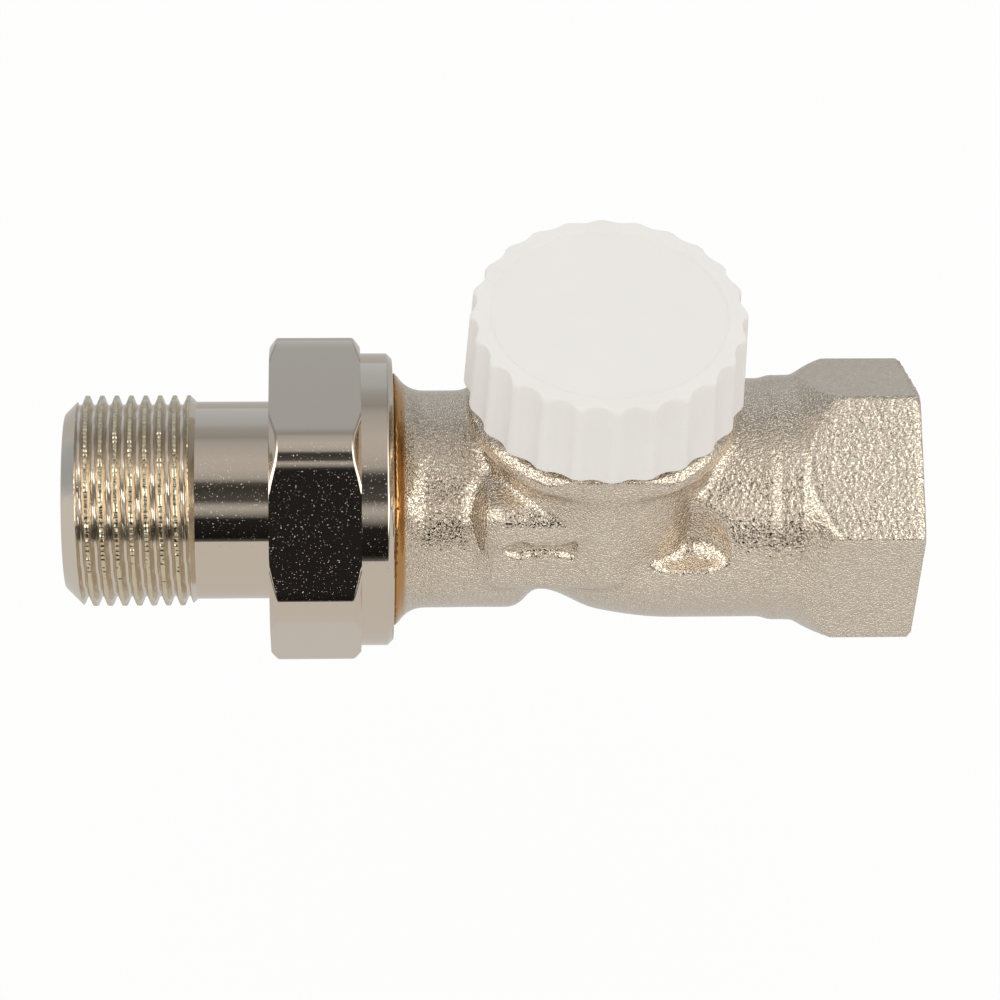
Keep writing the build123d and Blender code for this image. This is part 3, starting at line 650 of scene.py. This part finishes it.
def makeBody(size):
    low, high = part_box("valve_body")
    unionEnd = low.x / mm + size["unionLength"] + size["margin"]
    socketStart = -size["socketDepth"] - size["margin"]
    socketReach = size["socketThread"] + size["socketMargin"]
    shoulder = high.z / mm - size["neckLength"] - size["margin"]
    obj = bpy.data.objects.new("valveBody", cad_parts["valve_body"].data.copy())
    bpy.context.scene.collection.objects.link(obj)
    shell = bmesh.new()
    shell.from_mesh(obj.data)
    bmesh.ops.remove_doubles(shell, verts=shell.verts, dist=size["weld"] * mm)
    for vert in shell.verts:
        x, y, z = [c / mm for c in vert.co]
        around = hypot(y, z)
        upright = hypot(x - spindleX, y)
        target = 0
        if x < unionEnd and around > size["unionRoot"]:
            target = size["unionRoot"]
        elif x > socketStart and abs(around - size["socketRadius"]) < socketReach:
            target = size["socketRoot"]
        if target:
            vert.co.y *= target / around
            vert.co.z *= target / around
        elif z > shoulder and size["neckRoot"] < upright < size["neckRadius"] + size["margin"]:
            vert.co.x = (spindleX + (x - spindleX) * size["neckRoot"] / upright) * mm
            vert.co.y *= size["neckRoot"] / upright
    shell.to_mesh(obj.data)
    shell.free()
    remesh = obj.modifiers.new("forging", "REMESH")
    remesh.mode = "VOXEL"
    remesh.voxel_size = size["voxel"] * mm
    smooth = obj.modifiers.new("softening", "SMOOTH")
    smooth.factor = size["softness"]
    smooth.iterations = size["rounds"]
    bakeModifiers(obj)
    # the shelf's end and the collar under the cap run out softly
    runOut = obj.vertex_groups.new(name="runOut")
    for middle, reach in size["softZones"]:
        for vert in obj.data.vertices:
            nearness = min(1 - abs(at / mm - mid) / far for at, mid, far in zip(vert.co, middle, reach))
            if nearness > 0 and hypot(vert.co.y, vert.co.z) > size["softFrom"] * mm:
                runOut.add([vert.index], min(1.0, size["softSlope"] * nearness), "REPLACE")
    smooth = obj.modifiers.new("softRunOut", "SMOOTH")
    smooth.factor = size["softness"]
    smooth.iterations = size["softRounds"]
    smooth.vertex_group = runOut.name
    bakeModifiers(obj)
    obj.vertex_groups.clear()
    obj.data.materials.clear()
    obj.data.materials.append(forgedFinish)
    smoothShade(obj, size["sharp"])
    assignTo(obj, "valve_body", "forged_nickel", "valve_body")


makeBody(body)
print("valve body done")


# Threads of the body, each a threaded sleeve set in its cleared zone

threadPieces = dict(
    unionThread=dict(side=1.0, radius=16.6, inner=14.9, pitch=2.309, depth=1.2, columns=200, step=0.12),
    capThread=dict(side=1.0, radius=14.9, inner=13.3, pitch=1.5, depth=0.85, columns=200, step=0.1),
    socketThread=dict(side=-1.0, radius=12.06, inner=13.8, pitch=1.814, depth=1.16, columns=200, step=0.1),
)


sleeve = dict(chamfer=0.8, flatShare=0.12, fade=0.5, sharp=70.0)


def makeSleeve(name, start, end, size, upright=False):
    crest, back = size["radius"], size["inner"]
    chamfer, fade = sleeve["chamfer"], sleeve["fade"] * mm
    lean = chamfer * size["side"]
    outline = [(start, back), (start, crest - lean), (start + chamfer, crest), (end - chamfer, crest),
               (end, crest - lean), (end, back)]
    obj = lathe(name, refine(outline, size["step"]), size["columns"])
    shapeByNodes(obj, threadCutter, {
        "side": size["side"], "pitch": size["pitch"] * mm, "crestRadius": crest * mm,
        "depth": size["depth"] * mm, "crestShare": sleeve["flatShare"], "rootShare": sleeve["flatShare"],
        "crestStation": start * mm, "from": start * mm - fade, "to": end * mm + fade, "fade": fade,
        **noNotches}, turnedFinish)
    if upright:
        standUp(obj, spindleX)
    smoothShade(obj, sleeve["sharp"])
    assignTo(obj, "valve_body", "turned_nickel")


bodyLow, bodyHigh = [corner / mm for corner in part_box("valve_body")]
makeSleeve("unionThread", bodyLow.x, bodyLow.x + body["unionLength"], threadPieces["unionThread"])
makeSleeve("capThread", bodyHigh.z - body["neckLength"], bodyHigh.z, threadPieces["capThread"], upright=True)
makeSleeve("socketThread", bodyHigh.x - body["socketDepth"], bodyHigh.x, threadPieces["socketThread"])
print("threads done")


# Pieces inside, kept from the frame

innerNodes = dict(
    plainBrass=["insert_housing", "gland_nut", "gland_retainer", "disc_holder", "disc_nut", "clamp_washer",
                "spring_plate"],
    stainlessSteel=["push_pin", "spindle", "circlip", "return_spring"],
    blackRubber=["insert_o_ring", "gland_outer_o_ring", "pin_o_rings", "seal_disc"],
)
for finishName, nodeNames in innerNodes.items():
    for nodeName in nodeNames:
        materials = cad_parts[nodeName].data.materials
        materials.clear()
        materials.append(innerFinishes[finishName])
print("inner pieces done")


# Studio: white background for the camera, soft even light, bright and dark strips that the metal mirrors

studio = dict(
    floorDrop=75.0, floorHalf=2500.0, floorWhite="#f1efec", cameraShare=0.92,
    glossyFloor=0.685, backFloor=0.5, backFrom=-60.0, backTo=260.0,
    evenLight=1.0, middleTo=0.1, sidesFrom=0.23, coolRed=0.1, coolBlue=0.12,
    # angle up from the front horizon, level, coolness
    middle=[(-180, 0.68, 1), (-100, 0.68, 1), (-40, 0.75, 0), (-8, 0.63, 0), (-1, 0.1, 0), (2, 0.01, 0),
            (25, 0.02, 0), (31, 0.33, 0), (37, 0.52, 0), (41, 0.42, 0), (46, 0.09, 0), (61, 0.05, 0),
            (66, 0.09, 0), (72, 0.46, 0), (82, 0.57, 0), (95, 0.6, 0), (117, 0.5, 0.2), (125, 0.37, 0.2),
            (138, 0.44, 0.5), (148, 0.58, 1), (180, 0.68, 1)],
    sides=[(-180, 0.6, 0.4), (-100, 0.68, 0.4), (-40, 0.75, 0), (-5, 0.72, 0), (-2, 0.22, 0), (16, 0.22, 0),
           (23, 2.3, 0), (82, 2.2, 0), (92, 1.2, 0), (108, 0.38, 0.2), (130, 0.3, 0.5), (180, 0.5, 1)],
    lampWidth=700.0, lampHeight=900.0, lampPower=0.2,
)


def makeFloor(size):
    half = size["floorHalf"] * mm
    level = cadBox[0].z - size["floorDrop"] * mm
    mesh = bpy.data.meshes.new("floor")
    corners = [(x * half, y * half, level) for x, y in ((-1, -1), (1, -1), (1, 1), (-1, 1))]
    mesh.from_pydata(corners, [], [(0, 1, 2, 3)])
    floor = bpy.data.objects.new("floor", mesh)
    bpy.context.scene.collection.objects.link(floor)
    material = bpy.data.materials.new("paleFloor")
    material.use_nodes = True
    tree = material.node_tree
    tree.nodes.clear()
    ray = addNode(tree, "ShaderNodeLightPath").outputs
    paint = addNode(tree, "ShaderNodeBsdfDiffuse", [linear(size["floorWhite"])])
    mirrored = addNode(tree, mathNode, [
        ray["Is Glossy Ray"], ray["Is Transmission Ray"]], operation="MAXIMUM")
    spot = addNode(tree, "ShaderNodeTexCoord").outputs["Object"]
    place = addNode(tree, "ShaderNodeSeparateXYZ", [spot]).outputs
    mirroredLevel = addNode(tree, "ShaderNodeMapRange", {
        "Value": place["Y"], "From Min": size["backFrom"] * mm, "From Max": size["backTo"] * mm,
        "To Min": size["glossyFloor"], "To Max": size["backFloor"]})
    level = addNode(tree, "ShaderNodeMapRange", {"Value": mirrored, "To Min": 1.0, "To Max": mirroredLevel})
    glow = addNode(tree, "ShaderNodeEmission", {"Strength": level})
    seen = addNode(tree, mathNode, [
        addNode(tree, mathNode, [ray["Is Camera Ray"], mirrored], operation="MAXIMUM"), size["cameraShare"]],
        operation="MULTIPLY")
    addNode(tree, "ShaderNodeOutputMaterial", [addNode(tree, "ShaderNodeMixShader", [seen, paint, glow])])
    mesh.materials.append(material)


def makeWorld(size):
    world = bpy.data.worlds.new("studio")
    bpy.context.scene.world = world
    world.use_nodes = True
    tree = world.node_tree
    tree.nodes.clear()
    ray = addNode(tree, "ShaderNodeLightPath").outputs
    aim = addNode(tree, "ShaderNodeTexCoord").outputs["Generated"]
    way = addNode(tree, "ShaderNodeSeparateXYZ", [aim]).outputs
    front = addNode(tree, mathNode, [way["Y"], -1.0], operation="MULTIPLY")
    rise = addNode(tree, mathNode, [way["Z"], front], operation="ARCTAN2")
    share = addNode(tree, "ShaderNodeMapRange", {"Value": rise, "From Min": -pi, "From Max": pi})
    ramps = []
    for strips in (size["middle"], size["sides"]):
        ramp = addNode(tree, "ShaderNodeValToRGB", [share])
        stops = ramp.color_ramp.elements
        while len(stops) < len(strips):
            stops.new(0.5)
        for stop, (angle, level, cool) in zip(stops, strips):
            stop.position = (angle + 180) / 360
            red = level * (1 - size["coolRed"] * cool)
            blue = level * (1 + size["coolBlue"] * cool)
            stop.color = (red, level, blue, 1.0)
        ramps.append(ramp)
    aside = addNode(tree, "ShaderNodeMapRange", {
        "Value": addNode(tree, mathNode, [way["X"]], operation="ABSOLUTE"),
        "From Min": size["middleTo"], "From Max": size["sidesFrom"]})
    strips = addNode(tree, "ShaderNodeMix", {0: aside, 6: ramps[0], 7: ramps[1]}, data_type="RGBA")
    mirrored = addNode(tree, mathNode, [
        ray["Is Glossy Ray"], ray["Is Transmission Ray"]], operation="MAXIMUM")
    plain = addNode(tree, "ShaderNodeMix", {
        0: ray["Is Camera Ray"], 6: [size["evenLight"]] * 3 + [1.0], 7: [1.0] * 4}, data_type="RGBA")
    colour = addNode(tree, "ShaderNodeMix", {
        0: mirrored, 6: plain.outputs[2], 7: strips.outputs[2]}, data_type="RGBA")
    addNode(tree, "ShaderNodeOutputWorld", [addNode(tree, "ShaderNodeBackground", [colour.outputs[2]])])


def makeLamp(size):
    light = bpy.data.lights.new("softLamp", "AREA")
    light.size = size["lampWidth"] * mm
    light.energy = size["lampPower"]
    lamp = bpy.data.objects.new("softLamp", light)
    lamp.location = (spindleX * mm, 0, size["lampHeight"] * mm)
    lamp.visible_glossy = False
    bpy.context.scene.collection.objects.link(lamp)


makeFloor(studio)
makeWorld(studio)
makeLamp(studio)
print("studio done")


# Camera at the photograph's viewing angle

view = dict(
    target=(-51.7, 0.0, 0.0), elevation=47.057, yaw=3.999, roll=2.613, distance=460.441,
    focal=3642.392, frame=1000.0, sensor=36.0, rightwards=0.235, downwards=0.18,
)


def makeCamera(size):
    rise, yaw, roll = [radians(size[name]) for name in ("elevation", "yaw", "roll")]
    back = Vector((-sin(yaw) * cos(rise), -cos(yaw) * cos(rise), sin(rise)))
    level = Vector((0, 0, 1)).cross(back).normalized()
    upright = back.cross(level)
    right = level * cos(roll) + upright * sin(roll)
    up = upright * cos(roll) - level * sin(roll)
    aim = Vector(size["target"]) + right * size["rightwards"] - up * size["downwards"]
    lens = bpy.data.cameras.new("camera")
    lens.sensor_width = size["sensor"]
    lens.lens = size["focal"] / size["frame"] * size["sensor"]
    camera = bpy.data.objects.new("camera", lens)
    camera.matrix_world = Matrix.Translation((aim + back * size["distance"]) * mm) @ Matrix(
        (right, up, back)).transposed().to_4x4()
    bpy.context.scene.collection.objects.link(camera)
    bpy.context.scene.camera = camera


makeCamera(view)
bpy.context.scene.view_settings.view_transform = "Standard"
